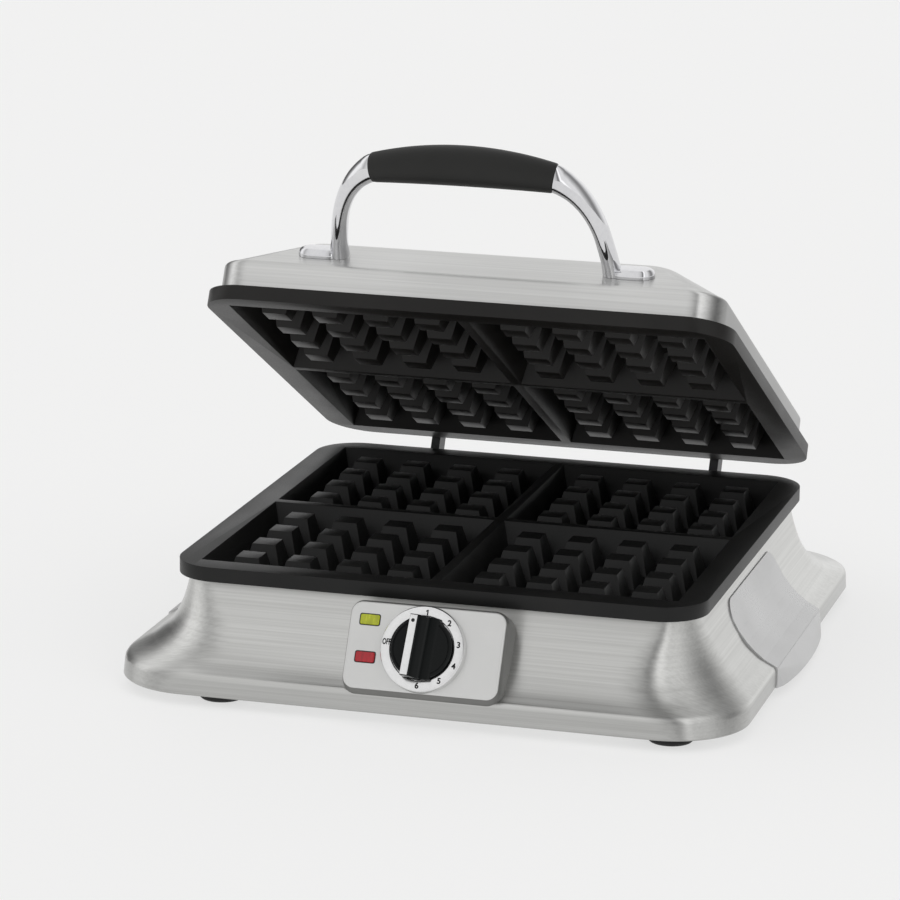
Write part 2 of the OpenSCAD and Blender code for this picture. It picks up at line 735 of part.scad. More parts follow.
// Outside of the grip, grown by g
module grip_body(g) {
    sweep([for (i = [6:-1:-6]) let (x = i * (grip_half - 0.3 + g) / 6)
        [x, grip_mid(x), grip_rad(x) + g, grip_rad(x) + g]], 28);
}

module lid_handle() {
    n = len(half_path);
    leg = concat(half_path, [[44.5, grip_mid(44.5), 7.3, 7.4]]);
    color([0.85, 0.85, 0.87]) lid_pose() difference() {
        union() {
            on_handle() difference() {
                union() {
                    sweep(leg);
                    sweep([for (i = [n:-1:0]) flip(leg[i])]);
                }
                grip_body(0.06);
            }
            on_handle() sweep(core);
            for (s = [-1, 1]) handle_pad(s);
        }
        on_slope() translate([-150, -20, -30]) cube([300, 80, 30.1]);
        for (s = [-1, 1]) for (x = [78, 91]) on_slope() translate([s * x, 16, -1]) cylinder(h = 3.6, r = 1.9);
    }
}

module handle_grip() {
    color([0.06, 0.06, 0.06]) lid_pose() on_handle() difference() {
        grip_body(0);
        sweep([for (p = [for (i = [-5:5]) i * 11.2]) [-p, grip_mid(p), 4.5, 4.5]], 20);
    }
}

module handle_screws() {
    color([0.6, 0.6, 0.6]) lid_pose() for (s = [-1, 1]) for (x = [78, 91])
        on_slope() translate([s * x, 16, -1.5 * shell_t]) mirror([0, 0, 1]) screw(1.85, 4.6, 3.4, 1.6);
}

base_shell();
side_grip_right();
side_grip_left();
bottom_pan();
foot_front_left();
foot_front_right();
foot_back_left();
foot_back_right();
foot_screws();
lower_plate();
lower_element();
lower_element_clamps();
lower_reflector();
lower_plate_posts();
lower_plate_screws();
control_panel();
dial_ring();
green_lens();
red_lens();
lamp_holder();
pilot_lamps();
thermostat_body();
thermostat_bracket();
thermal_fuse();
terminal_block();
cord_gland();
hinge_bracket_left();
hinge_bracket_right();
hinge_bracket_screws();
control_knob();
knob_pointer();
thermostat_shaft();
lid_shell();
upper_plate();
upper_element();
upper_element_clamps();
upper_reflector();
upper_plate_screws();
hinge_arm_left();
hinge_arm_right();
hinge_arm_screws();
hinge_pin_left();
hinge_pin_right();
hinge_washers();
lid_handle();
handle_grip();
handle_screws();
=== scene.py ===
"""Looks of a square waffle maker: flared brushed-steel base, coated plates, hinged lid, chrome bail handle.

Shapes are worked out in millimetres, in the part's own frame, and turned into metres when a mesh is made.
"""
import json
import math

import bmesh
import bpy
from mathutils import Matrix, Vector


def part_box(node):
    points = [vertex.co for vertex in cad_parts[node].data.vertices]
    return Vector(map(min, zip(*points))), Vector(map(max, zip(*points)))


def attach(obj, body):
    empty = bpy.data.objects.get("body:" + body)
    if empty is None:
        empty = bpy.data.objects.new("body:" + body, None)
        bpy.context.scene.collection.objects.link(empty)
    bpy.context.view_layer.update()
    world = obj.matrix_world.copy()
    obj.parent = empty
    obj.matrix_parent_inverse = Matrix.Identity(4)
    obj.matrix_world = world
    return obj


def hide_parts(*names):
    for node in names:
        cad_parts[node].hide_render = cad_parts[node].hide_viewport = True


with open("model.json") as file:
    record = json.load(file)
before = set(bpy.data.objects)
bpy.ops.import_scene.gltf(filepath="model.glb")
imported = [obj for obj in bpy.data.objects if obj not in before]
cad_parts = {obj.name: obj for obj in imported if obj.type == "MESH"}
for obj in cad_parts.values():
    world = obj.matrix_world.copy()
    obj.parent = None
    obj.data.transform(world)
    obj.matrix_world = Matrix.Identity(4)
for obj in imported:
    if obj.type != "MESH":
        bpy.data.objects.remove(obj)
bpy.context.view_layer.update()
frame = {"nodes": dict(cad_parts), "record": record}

MM = 0.001

# ---------------------------------------------------------------- sizes, millimetres


def corner(node, high):
    """A corner of a CAD node's box, in millimetres."""
    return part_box(node)[1 if high else 0] / MM


PLATE_HALF = corner("lower_plate", True).x
PARTING_Z = corner("lower_plate", True).z
BAND_H = 7.65
SHELL_TOP = corner("base_shell", True).z
BASE_HX = corner("base_shell", True).x
BASE_HY = corner("base_shell", True).y
SKIRT_Z = corner("base_shell", False).z
SHELL_T = 1.6
LID_GAP = 0.3
UP_Z = PARTING_Z + LID_GAP
LID_HALF = PLATE_HALF - 6.0
LID_WALL = 23.0
LID_TOP = 44.2
GRIP_Y0, GRIP_Y1 = -65.0, 50.0
GRIP_TOP = 49.0
GRIP_CORNER = 11.0
PANEL_W, PANEL_H = 81.0, 44.6
PANEL_LEAN = math.radians(26.4)
PANEL_ORIGIN = Vector((4.6, -173.5, 19.3))
DIAL_R, DIAL_T = 22.2, 4.6
KNOB_R, KNOB_FACE, RIDGE = 15.9, 6.6, 12.2
POINTER_X = -4.95
KNOB_TURN = math.radians(3)
SHAFT_HOLE = 3.6
GLAND_X, GLAND_Z, GLAND_R = -35, 26, 8.1
LENS_HX, LENS_HY = 5.0, 2.6

lid_hinge = next(j for j in frame["record"]["behaviour"]["joints"] if j["name"] == "lid_hinge")
HINGE = Vector(lid_hinge["pos_m"]) / MM
LID_OPEN = math.radians(-lid_hinge["range_deg"][0])

# frames: the closed lid swung open, the panel face, the knob, the front slope of the roof, the handle
LID = Matrix.Translation(HINGE) @ Matrix.Rotation(-LID_OPEN, 4, "X") @ Matrix.Translation(-HINGE)
PANEL = Matrix.Translation(PANEL_ORIGIN) @ Matrix.Rotation(math.pi / 2 - PANEL_LEAN, 4, "X")
DIAL = PANEL @ Matrix.Translation((0, PANEL_H / 2, 0))
KNOB = DIAL @ Matrix.Rotation(-KNOB_TURN, 4, "Z")
SLOPE_Y0, SLOPE_Z0 = LID_HALF - 2.5, LID_WALL + 1
SLOPE_Y1, SLOPE_Z1 = LID_HALF - 29.5, LID_TOP - 3.2
SLOPE_A = math.atan2(SLOPE_Z1 - SLOPE_Z0, SLOPE_Y0 - SLOPE_Y1)
SLOPE = LID @ Matrix.Translation((0, -SLOPE_Y0, UP_Z + SLOPE_Z0)) @ Matrix.Rotation(SLOPE_A, 4, "X")
HANDLE_LIFT = math.radians(37.4)
HANDLE = LID @ Matrix.Translation((0, -118, UP_Z + 32.8)) @ Matrix.Rotation(math.pi - HANDLE_LIFT, 4, "X")

# ---------------------------------------------------------------- materials


class Tree:
    """Short calls that add nodes to a node tree and link them."""

    def __init__(self, tree):
        self.tree = tree

    def add(self, kind, inputs=None, **props):
        node = self.tree.nodes.new(kind)
        for key, value in props.items():
            setattr(node, key, value)
        for key, value in (inputs or {}).items():
            self.feed(node.inputs[key], value)
        return node

    def feed(self, socket, value):
        if isinstance(value, bpy.types.NodeSocket):
            self.tree.links.new(value, socket)
        else:
            socket.default_value = value

    def ramp(self, value, low, high, out_low, out_high):
        node = self.add("ShaderNodeMapRange", {"Value": value, "From Min": low, "From Max": high,
                                               "To Min": out_low, "To Max": out_high})
        return node.outputs["Result"]

    def math(self, operation, a, b=0.0, c=0.0):
        return self.add("ShaderNodeMath", {0: a, 1: b, 2: c}, operation=operation).outputs[0]

    def blend(self, factor, a, b):
        """Mix of two numbers."""
        return self.add("ShaderNodeMix", {"Factor": factor, 2: a, 3: b}, data_type="FLOAT").outputs[0]

    def mix(self, factor, a, b):
        """Mix of two colours."""
        return self.add("ShaderNodeMix", {"Factor": factor, 6: a, 7: b}, data_type="RGBA").outputs[2]


class Nodes(Tree):
    """A material's node tree, ending in its shader."""

    def __init__(self, name):
        self.mat = bpy.data.materials.new(name)
        self.mat.use_nodes = True
        super().__init__(self.mat.node_tree)
        self.bsdf = self.tree.nodes["Principled BSDF"]

    def axis(self, where, letter):
        """One axis of a texture coordinate."""
        vector = self.add("ShaderNodeTexCoord").outputs[where]
        return self.add("ShaderNodeSeparateXYZ", {"Vector": vector}).outputs[letter]

    def noise(self, scale, detail=3.0, rotation=(0, 0, 0)):
        where = self.add("ShaderNodeTexCoord").outputs["Object"]
        mapping = self.add("ShaderNodeMapping", {"Vector": where, "Rotation": rotation, "Scale": scale})
        node = self.add("ShaderNodeTexNoise", {"Vector": mapping.outputs["Vector"], "Scale": 1.0,
                                               "Detail": detail, "Roughness": 0.55})
        return node.outputs["Fac"]

    def bump(self, height, strength, distance):
        node = self.add("ShaderNodeBump", {"Height": height, "Strength": strength, "Distance": distance})
        self.feed(self.bsdf.inputs["Normal"], node.outputs["Normal"])

    def finish(self, color, roughness, **constants):
        self.feed(self.bsdf.inputs["Base Color"], color)
        self.feed(self.bsdf.inputs["Roughness"], roughness)
        for key, value in constants.items():
            self.bsdf.inputs[key.replace("_", " ")].default_value = value
        return self.mat


def rgb(r, g, b):
    return (r, g, b, 1.0)


SCRATCH_DEPTH = 0.00003


def brushed(name, color, dark, up, side_shade_level=1.0, painted_shade_height=0.0):
    """Steel with fine level scratches, which smear reflections up and down the wall.

    side_shade_level is painted shade: walls that face sideways keep this share of their colour.
    painted_shade_height is the height in metres below which painted shade darkens the steel.
    """
    n = Nodes(name)
    tilt = (math.atan2(up.y, up.z), 0, 0)
    side = n.ramp(n.math("ABSOLUTE", n.axis("Normal", "X")), 0.50, 0.80, 0.0, 1.0)
    fine = n.blend(side, n.noise((3, 900, 900), 4, rotation=tilt), n.noise((900, 3, 900), 4, rotation=tilt))
    level = n.noise((9, 9, 620), 3, rotation=tilt)
    grain = n.math("ADD", n.math("MULTIPLY", fine, 0.6), n.math("MULTIPLY", level, 0.4))
    soft = n.noise((9, 9, 9), 2, rotation=tilt)
    tint = n.mix(n.ramp(grain, 0.38, 0.62, 0.0, 1.0), dark, color)
    # Painted shade: walls that face sideways are dimmed towards dark grey.
    painted_shade_tint = n.mix(side, tint, n.mix(1.0 - side_shade_level, tint, rgb(0.1, 0.1, 0.1)))
    # Painted shade: below the given height the steel is darkened towards grey, at the foot of the skirt.
    if painted_shade_height:
        shadow = n.ramp(n.axis("Object", "Z"), painted_shade_height, painted_shade_height + 0.002, 0.22, 0.0)
        painted_shade_tint = n.mix(shadow, painted_shade_tint, rgb(0.1, 0.1, 0.1))
    spread = n.math("ADD", n.ramp(grain, 0.3, 0.7, 0.28, 0.35), n.ramp(soft, 0.3, 0.7, -0.02, 0.02))
    n.bump(grain, 0.15, SCRATCH_DEPTH)
    across = n.add("ShaderNodeVectorTransform", {"Vector": tuple(up)}, vector_type="VECTOR",
                   convert_from="OBJECT", convert_to="WORLD")
    n.feed(n.bsdf.inputs["Tangent"], across.outputs["Vector"])
    return n.finish(painted_shade_tint, spread, Metallic=1.0, Anisotropic=0.93)


def coated(name, color, wear, rough, grit=2600.0, strength=0.25, spec=0.35, metallic=0.0):
    """Plastic or baked coating with a fine grit, faint blotches and slightly rubbed, paler patches."""
    n = Nodes(name)
    fine = n.noise((grit, grit, grit), 2)
    blotch = n.noise((26, 26, 26), 4)
    tint = n.mix(n.ramp(blotch, 0.35, 0.7, 0.0, 1.0), color, wear)
    spread = n.math("ADD", n.ramp(fine, 0.3, 0.7, rough[0], rough[1]), n.ramp(blotch, 0.3, 0.7, -0.03, 0.03))
    n.bump(fine, strength, SCRATCH_DEPTH)
    return n.finish(tint, spread, Specular_IOR_Level=spec, Metallic=metallic)


def metal(name, color, dark, rough, strength=0.15):
    """Plain metal with mottled tone and fine pitting."""
    n = Nodes(name)
    fine = n.noise((420, 420, 420), 4)
    cloud = n.noise((40, 40, 40), 3)
    mottle = n.math("ADD", n.math("MULTIPLY", fine, 0.5), n.math("MULTIPLY", cloud, 0.5))
    tint = n.mix(n.ramp(mottle, 0.35, 0.65, 0.0, 1.0), dark, color)
    n.bump(fine, strength, SCRATCH_DEPTH)
    return n.finish(tint, n.ramp(cloud, 0.3, 0.7, rough[0], rough[1]), Metallic=1.0)


def lens(name, color, deep, glow):
    """Translucent lamp window with a moulded prism pattern under a clear skin."""
    n = Nodes(name)
    ribs = n.noise((500, 120, 120), 2)
    tint = n.mix(n.ramp(ribs, 0.35, 0.65, 0.0, 1.0), deep, color)
    n.bump(ribs, 0.15, 0.00005)
    n.feed(n.bsdf.inputs["Emission Color"], tint)
    return n.finish(tint, n.ramp(ribs, 0.3, 0.7, 0.18, 0.3), Coat_Weight=0.2, Emission_Strength=glow)


WALL_LEAN = 0.08
LID_UP = Vector((0, math.sin(LID_OPEN) + WALL_LEAN * math.cos(LID_OPEN),
                 math.cos(LID_OPEN) - WALL_LEAN * math.sin(LID_OPEN)))
MATS = {
    # The base steel takes painted shade low on its skirt.
    "steel_base": brushed("brushed_stainless_base", rgb(0.645, 0.645, 0.63), rgb(0.53, 0.53, 0.515),
                          Vector((0, 0.05, 1.0)), painted_shade_height=0.0140),
    # The lid steel's sideways walls are dimmed by painted shade.
    "steel_lid": brushed("brushed_stainless_lid", rgb(0.71, 0.71, 0.70), rgb(0.60, 0.60, 0.59), LID_UP,
                         side_shade_level=0.37),
    "silver": coated("satin_silver_plastic", rgb(0.59, 0.59, 0.59), rgb(0.55, 0.55, 0.55), (0.28, 0.34),
                     3200, 0.2, metallic=0.6),
    "face": coated("satin_panel_face", rgb(0.70, 0.70, 0.69), rgb(0.66, 0.66, 0.65), (0.34, 0.42),
                   3600, 0.3, metallic=0.5),
    # Darker copy of the panel colour for its flanks: painted shade.
    "flank_shade": coated("satin_panel_painted_shade", rgb(0.17, 0.17, 0.165), rgb(0.21, 0.21, 0.20), (0.30, 0.38),
                    3200, 0.2, metallic=0.4),
    "ring": metal("satin_aluminium_ring", rgb(0.84, 0.84, 0.84), rgb(0.76, 0.76, 0.76), (0.20, 0.28)),
    "coat_low": coated("nonstick_lower", rgb(0.010, 0.010, 0.010), rgb(0.015, 0.015, 0.0145), (0.34, 0.44),
                       1500, 0.35, 0.22),
    "coat_up": coated("nonstick_upper", rgb(0.009, 0.0082, 0.0075), rgb(0.014, 0.013, 0.012), (0.34, 0.44),
                      1500, 0.35, 0.25),
    "grip": coated("matte_black_grip", rgb(0.012, 0.012, 0.011), rgb(0.017, 0.017, 0.016), (0.46, 0.56),
                   2200, 0.4, 0.3),
    "gloss": coated("gloss_black_knob", rgb(0.003, 0.004, 0.004), rgb(0.005, 0.006, 0.006), (0.10, 0.16),
                    900, 0.05, 0.14),
    # Black print, also used as painted shade in the gap round the panel.
    "ink": coated("black_print_and_painted_shade", rgb(0.012, 0.012, 0.012), rgb(0.020, 0.020, 0.020), (0.40, 0.50)),
    "rubber": coated("foot_rubber", rgb(0.012, 0.012, 0.012), rgb(0.020, 0.020, 0.020), (0.60, 0.75),
                     1200, 0.6),
    "nylon": coated("black_nylon", rgb(0.020, 0.020, 0.020), rgb(0.030, 0.030, 0.030), (0.40, 0.50)),
    "chrome": metal("polished_chrome", rgb(0.74, 0.74, 0.75), rgb(0.67, 0.67, 0.69), (0.04, 0.08),
                    strength=0.02),
    "zinc": metal("zinc_plate", rgb(0.62, 0.62, 0.61), rgb(0.47, 0.48, 0.48), (0.30, 0.48)),
    "heater": metal("heater_sheath", rgb(0.30, 0.27, 0.25), rgb(0.16, 0.14, 0.13), (0.40, 0.60)),
    "foil": metal("reflector_sheet", rgb(0.80, 0.80, 0.80), rgb(0.68, 0.68, 0.68), (0.22, 0.34)),
    "brass": metal("brass", rgb(0.72, 0.53, 0.25), rgb(0.55, 0.38, 0.16), (0.25, 0.40)),
    "dark": coated("satin_black_steel", rgb(0.035, 0.035, 0.037), rgb(0.055, 0.055, 0.057), (0.34, 0.46)),
    "housing": coated("lamp_housing", rgb(0.72, 0.71, 0.66), rgb(0.64, 0.63, 0.58), (0.40, 0.52)),
    "steatite": coated("steatite", rgb(0.68, 0.66, 0.60), rgb(0.58, 0.56, 0.50), (0.50, 0.65)),
    "bulb": lens("pilot_lamp_glass", rgb(0.9, 0.55, 0.35), rgb(0.7, 0.35, 0.2), 0.0),
    "green": lens("green_lens", rgb(0.45, 0.49, 0.012), rgb(0.33, 0.36, 0.010), 0.05),
    "red": lens("red_lens", rgb(0.45, 0.006, 0.016), rgb(0.30, 0.004, 0.010), 0.05),
}

NODE_LOOKS = {
    "zinc": ["bottom_pan", "foot_screws", "lower_element_clamps", "lower_plate_posts", "lower_plate_screws",
             "thermostat_bracket", "hinge_bracket_screws", "upper_element_clamps", "upper_plate_screws",
             "hinge_arm_screws", "hinge_pin_left", "hinge_pin_right", "handle_screws", "thermostat_shaft",
             "thermal_fuse"],
    "heater": ["lower_element", "upper_element"],
    "foil": ["lower_reflector", "upper_reflector"],
    "bulb": ["pilot_lamps"],
    "housing": ["lamp_holder"],
    "steatite": ["thermostat_body", "terminal_block"],
    "nylon": ["cord_gland"],
    "dark": ["hinge_bracket_left", "hinge_bracket_right", "hinge_arm_left", "hinge_arm_right"],
    "brass": ["hinge_washers"],
    "rubber": ["foot_front_left", "foot_front_right", "foot_back_left", "foot_back_right"],
    "silver": ["side_grip_left", "side_grip_right"],
}

# ---------------------------------------------------------------- mesh helpers


def shade(mesh, angle=35.0):
    """Smooth faces, with edges sharper than the angle kept crisp."""
    mesh.shade_smooth()
    mesh.set_sharp_from_angle(angle=math.radians(angle))


def place(name, points, faces, body, look, slot=None, replaces=(), matrix=Matrix.Identity(4), angle=35.0):
    """A piece from points in millimetres in the given local frame."""
    mesh = bpy.data.meshes.new(name)
    mesh.from_pydata([(matrix @ Vector(p)) * MM for p in points], [], faces)
    mesh.validate()
    work = bmesh.new()
    work.from_mesh(mesh)
    bmesh.ops.remove_doubles(work, verts=work.verts, dist=1e-6)
    bmesh.ops.recalc_face_normals(work, faces=work.faces)
    work.to_mesh(mesh)
    work.free()
    piece = bpy.data.objects.new(name, mesh)
    bpy.context.scene.collection.objects.link(piece)
    return dress(piece, body, look, replaces, angle)


def dress(piece, body, look, replaces=(), angle=35.0):
    piece.data.materials.clear()
    piece.data.materials.append(MATS[look])
    shade(piece.data, angle)
    if body:
        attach(piece, body)
    if replaces:
        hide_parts(*replaces)
    return piece


def settle(piece):
    """Turn a piece's modifiers into its mesh."""
    graph = bpy.context.evaluated_depsgraph_get()
    mesh = bpy.data.meshes.new_from_object(piece.evaluated_get(graph))
    piece.modifiers.clear()
    piece.data = mesh
    return piece


def cut(piece, *tools, operation="DIFFERENCE"):
    """Boolean the tools out of a piece, then drop the tools."""
    for tool in tools:
        modifier = piece.modifiers.new("cut", "BOOLEAN")
        modifier.object = tool
        modifier.operation = operation
        modifier.solver = "EXACT"
    bpy.context.view_layer.update()
    settle(piece)
    for tool in tools:
        bpy.data.objects.remove(tool)
    return piece


def rounded(piece, width):
    """Round a piece's sharp edges."""
    modifier = piece.modifiers.new("round", "BEVEL")
    modifier.width = width * MM
    modifier.segments = 3
    modifier.limit_method = "ANGLE"
    modifier.angle_limit = math.radians(30)
    modifier.harden_normals = False
    bpy.context.view_layer.update()
    return settle(piece)


def refine(node, body, look, width):
    """A CAD node's shape as a new piece, its flat faces joined up and its edges rounded."""
    piece = bpy.data.objects.new(node + "_finished", frame["nodes"][node].data.copy())
    bpy.context.scene.collection.objects.link(piece)
    work = bmesh.new()
    work.from_mesh(piece.data)
    bmesh.ops.remove_doubles(work, verts=work.verts, dist=2e-6)
    bmesh.ops.dissolve_limit(work, angle_limit=math.radians(0.4), verts=work.verts, edges=work.edges)
    work.to_mesh(piece.data)
    work.free()
    rounded(piece, width)
    return dress(piece, body, look, [node])


def ring(hx, hy, r, z, n=16):
    """Points round a rounded rectangle."""
    points = []
    for q, (sx, sy) in enumerate(((1, 1), (-1, 1), (-1, -1), (1, -1))):
        for i in range(n + 1):
            a = (q + i / n) * math.pi / 2
            points.append((sx * (hx - r) + r * math.cos(a), sy * (hy - r) + r * math.sin(a), z))
    return points


def skin(rings, loop=False):
    """Points and faces of a surface through rings of equal length, capped unless it loops."""
    m = len(rings[0])
    points = [p for r in rings for p in r]
    faces = []
    count = len(rings)
    for j in range(count if loop else count - 1):
        a, b = j * m, ((j + 1) % count) * m
        for i in range(m):
            k = (i + 1) % m
            faces.append((a + i, a + k, b + k, b + i))
    if not loop:
        faces.append(tuple(reversed(range(m))))
        faces.append(tuple((count - 1) * m + i for i in range(m)))
    return points, faces


def lathe(profile, n=96):
    """Points and faces of a solid turned about Z from a closed (radius, height) outline."""
    rings = [[(r * math.cos(2 * math.pi * i / n), r * math.sin(2 * math.pi * i / n), z) for i in range(n)]
             for r, z in profile]
    return skin(rings, loop=True)


def smooth_rows(rows, steps):
    """Rows of numbers with a smooth curve through them, each gap cut into steps."""
    out = []
    for k in range(len(rows) - 1):
        p0, p1, p2, p3 = rows[max(0, k - 1)], rows[k], rows[k + 1], rows[min(len(rows) - 1, k + 2)]
        for s in range(steps):
            t = s / steps
            out.append([0.5 * (2 * b + (c - a) * t + (2 * a - 5 * b + 4 * c - d) * t * t
                               + (3 * b - a - 3 * c + d) * t ** 3) for a, b, c, d in zip(p0, p1, p2, p3)])
    out.append(list(rows[-1]))
    return out


def block(name, low, high, matrix=Matrix.Identity(4)):
    """A box-shaped cutting tool in millimetres."""
    (x0, y0, z0), (x1, y1, z1) = low, high
    rings = [[(x0, y0, z), (x1, y0, z), (x1, y1, z), (x0, y1, z)] for z in (z0, z1)]
    return place(name, *skin(rings), None, "silver", matrix=matrix)


# ---------------------------------------------------------------- base shell

# inset in x, inset in y, corner radius, height: the flare above the skirt
FLARE = [[1.0, 1.0, 47, 16.6], [7.8, 9, 50, 20.2], [12.8, 14.8, 50, 24.2], [16.8, 19.4, 48, 28.2],
         [20.8, 24, 43, 34], [24.3, 28, 36, 40.4], [27.8, 32.4, 27, 48.4], [30.8, 35.5, 20, 57.6]]
SKIRT = [[0.6, 0.6, 41, SKIRT_Z], [0, 0, 41, SKIRT_Z + 0.8], [0, 0, 43.6, 13.6], [0.12, 0.12, 44.2, 14.9],
         [0.45, 0.45, 45.6, 15.9]]


def flare_rings(grow, rows, n=24):
    return [ring(BASE_HX - ix + grow, BASE_HY - iy + grow, r + grow, z, n) for ix, iy, r, z in rows]


def base_solid(name, grow):
    rows = SKIRT + smooth_rows(FLARE, 5)
    rows[-1][3] = SHELL_TOP
    return place(name, *skin(flare_rings(grow, rows)), None, "silver")


def window(name, side, gap):
    """A cutting tool for the opening that a side grip fills."""
    y0, y1, top, r = GRIP_Y0 + gap, GRIP_Y1 - gap, GRIP_TOP - gap, GRIP_CORNER
    outline = [(y0, -1), (y1, -1)]
    for cx, start in ((y1 - r, 0), (y0 + r, 90)):
        for degrees in range(start, start + 91, 15):
            a = math.radians(degrees)
            outline.append((cx + r * math.cos(a), top - r + r * math.sin(a)))
    rings = [[(side * x, y, z) for y, z in outline] for x in (105.0, 190.0)]
    return place(name, *skin(rings), None, "silver")


def gland_hole():
    rings = []
    for y in (120, 176):
        turns = [a / 12 * math.pi for a in range(24)]
        rings.append([(GLAND_X + GLAND_R * math.cos(a), y, GLAND_Z + GLAND_R * math.sin(a)) for a in turns])
    return place("gland_hole", *skin(rings), None, "silver")


def base_shell():
    """Sheet-steel flare, open at the bottom, with a lip under the lower plate."""
    rows = SKIRT + smooth_rows(FLARE, 6)
    rows[-1][3] = SHELL_TOP
    outer = flare_rings(0, rows)
    ix, iy, r, z = rows[-1]
    hole = PLATE_HALF - 10.5
    lip = [ring(BASE_HX - ix - 0.6, BASE_HY - iy - 0.6, r, SHELL_TOP, 24),
           ring(hole, hole, 14, SHELL_TOP, 24), ring(hole, hole, 14, SHELL_TOP - 1.2, 24)]
    inner = flare_rings(-SHELL_T, [row for row in rows if row[3] < SHELL_TOP - 1.4])
    inner.append(ring(BASE_HX - ix - SHELL_T, BASE_HY - iy - SHELL_T, r - SHELL_T, SHELL_TOP - 1.2, 24))
    rings = outer + lip + list(reversed(inner))
    piece = place("base_shell_skin", *skin(rings, loop=True), None, "steel_base")
    cut(piece, window("w_right", 1, 0.2), window("w_left", -1, 0.2), gland_hole(),
        block("panel_hole", (-33.4, -200, 17), (42.6, -120, 51)))
    return dress(piece, "base", "steel_base", ["base_shell"], 28.0)


base_shell()

# ---------------------------------------------------------------- control panel, dial and lamps


def panel_rings(g, n=12):
    """Rings of the panel block, smallest at the face, moved inwards by g."""
    # half width, half height, corner radius, depth, height of the middle
    rows = [(41.3, 24.6, 7.8, -26, 21.3), (41.3, 24.0, 7.2, -5.2, 21.7), (41.0, 23.2, 6.8, -2.3, 22.2)]
    edge = 1.3
    for k in range(6):
        a = k / 5 * math.pi / 2
        pull = edge * (1 - math.cos(a))
        rows.append((PANEL_W / 2 - pull, PANEL_H / 2 - pull, 6 - pull * 0.6, -edge + edge * math.sin(a),
                     PANEL_H / 2))
    return [[(x, y + cy, z - (g if z > -3 else 0)) for x, y, z in ring(hx - g, hy - g, r - g * 0.6, z, n)]
            for hx, hy, r, z, cy in rows]


LAMP_X, LAMP_Y = -30.0, (35.3, 16.1)


def control_panel():
    """Silver panel with a pale face and flanks darkened by painted shade, hollow and open towards the shell.
    """
    piece = place("control_panel_face", *skin(panel_rings(0)), None, "silver", matrix=PANEL)
    inner = place("inner", *skin(panel_rings(2.2)), None, "silver", matrix=PANEL)
    tools = [base_solid("base_cut", 0.05), inner,
             block("plate_cut", (-150, -PLATE_HALF - 0.6, PARTING_Z - BAND_H - 0.3), (150, -30, 90)),
             block("skirt_cut", (-100, -BASE_HY - 0.05, -20), (100, -100, SKIRT_Z + 0.1)),
             place("shaft_hole", *lathe([(0, -30), (SHAFT_HOLE, -30), (SHAFT_HOLE, 9), (0, 9)], 32), None,
                   "silver", matrix=DIAL)]
    for y in LAMP_Y:
        hx, hy = LENS_HX + 0.2, LENS_HY + 0.2
        tools.append(block("lamp_hole", (LAMP_X - hx, y - hy, -6), (LAMP_X + hx, y + hy, 6), PANEL))
    cut(piece, *tools)
    dress(piece, "base", "face", ["control_panel"], 30.0)
    # Faces set back from the face or turned away from the front take the darker copy: painted shade on the
    # flanks.
    piece.data.materials.append(MATS["flank_shade"])
    into = PANEL.inverted()
    for face in piece.data.polygons:
        spot = into @ (face.center / MM)
        face.material_index = 1 if spot.z < -1.35 or (into.to_3x3() @ face.normal).z < 0.2 else 0
    return piece


control_panel()


def panel_seam():
    """Black strip round the panel where it meets the steel: painted shade for the shadowed gap there."""
    rings = [ring(PANEL_W / 2 + g, PANEL_H / 2 + g, 6 + g, z, 12) for g, z in
             ((0.55, -26), (0.55, -1.0), (-1.5, -1.0), (-1.5, -26))]
    rings = [[(x, y + PANEL_H / 2, z) for x, y, z in r] for r in rings]
    piece = place("panel_seam", *skin(rings, loop=True), None, "ink", matrix=PANEL)
    cut(piece, base_solid("base_skin", 0.15), operation="INTERSECT")
    cut(piece, base_solid("base_core", -0.4), block("low_cut", (-150, -200, -60), (150, 0, 26)))
    return dress(piece, "base", "ink")


panel_seam()


def dial_ring():
    """Bright ring with a rounded rim and a sunk middle for the knob."""
    out, into, top = DIAL_R, KNOB_R, DIAL_T
    profile = [(SHAFT_HOLE, 0), (out, 0), (out, 0.4), (out - 0.15, 2.4), (out - 0.45, 3.9),
               (out - 0.65, 4.25), (out - 0.9, 4.5), (out - 1.25, top), (into + 1.5, top),
               (into + 0.95, top - 0.1), (into + 0.65, top - 0.5), (into + 0.6, 1.2), (SHAFT_HOLE, 1.2)]
    return place("dial_ring_turned", *lathe(profile), "base", "ring", "bright_ring", ["dial_ring"],
                 DIAL, 25.0)


dial_ring()


FIGURE_R = 18.75
FIGURE_H = 3.0


def numeral(text, clock, radius, narrow=1.0):
    """Black printed figure, upright, at a clockwise angle in degrees from the top of the dial."""
    curve = bpy.data.curves.new("figure_" + text, "FONT")
    curve.body = text
    curve.align_x, curve.align_y = "CENTER", "CENTER"
    curve.size = FIGURE_H * 1.38 * MM
    curve.extrude = 0.04 * MM
    curve.resolution_u = 6
    shape = bpy.data.objects.new("figure_" + text, curve)
    bpy.context.scene.collection.objects.link(shape)
    bpy.context.view_layer.update()
    mesh = bpy.data.meshes.new_from_object(shape.evaluated_get(bpy.context.evaluated_depsgraph_get()))
    bpy.data.objects.remove(shape)
    bold = bmesh.new()
    for step in range(8):
        turn = step * math.pi / 4
        shift = Vector((math.cos(turn), math.sin(turn), 0)) * 0.05 * FIGURE_H * MM
        mesh.transform(Matrix.Translation(shift))
        bold.from_mesh(mesh)
        mesh.transform(Matrix.Translation(-shift))
    bold.to_mesh(mesh)
    bold.free()
    mesh.transform(Matrix.Scale(narrow, 4, (1, 0, 0)))
    return print_figure("figure_" + text, mesh, clock, radius)


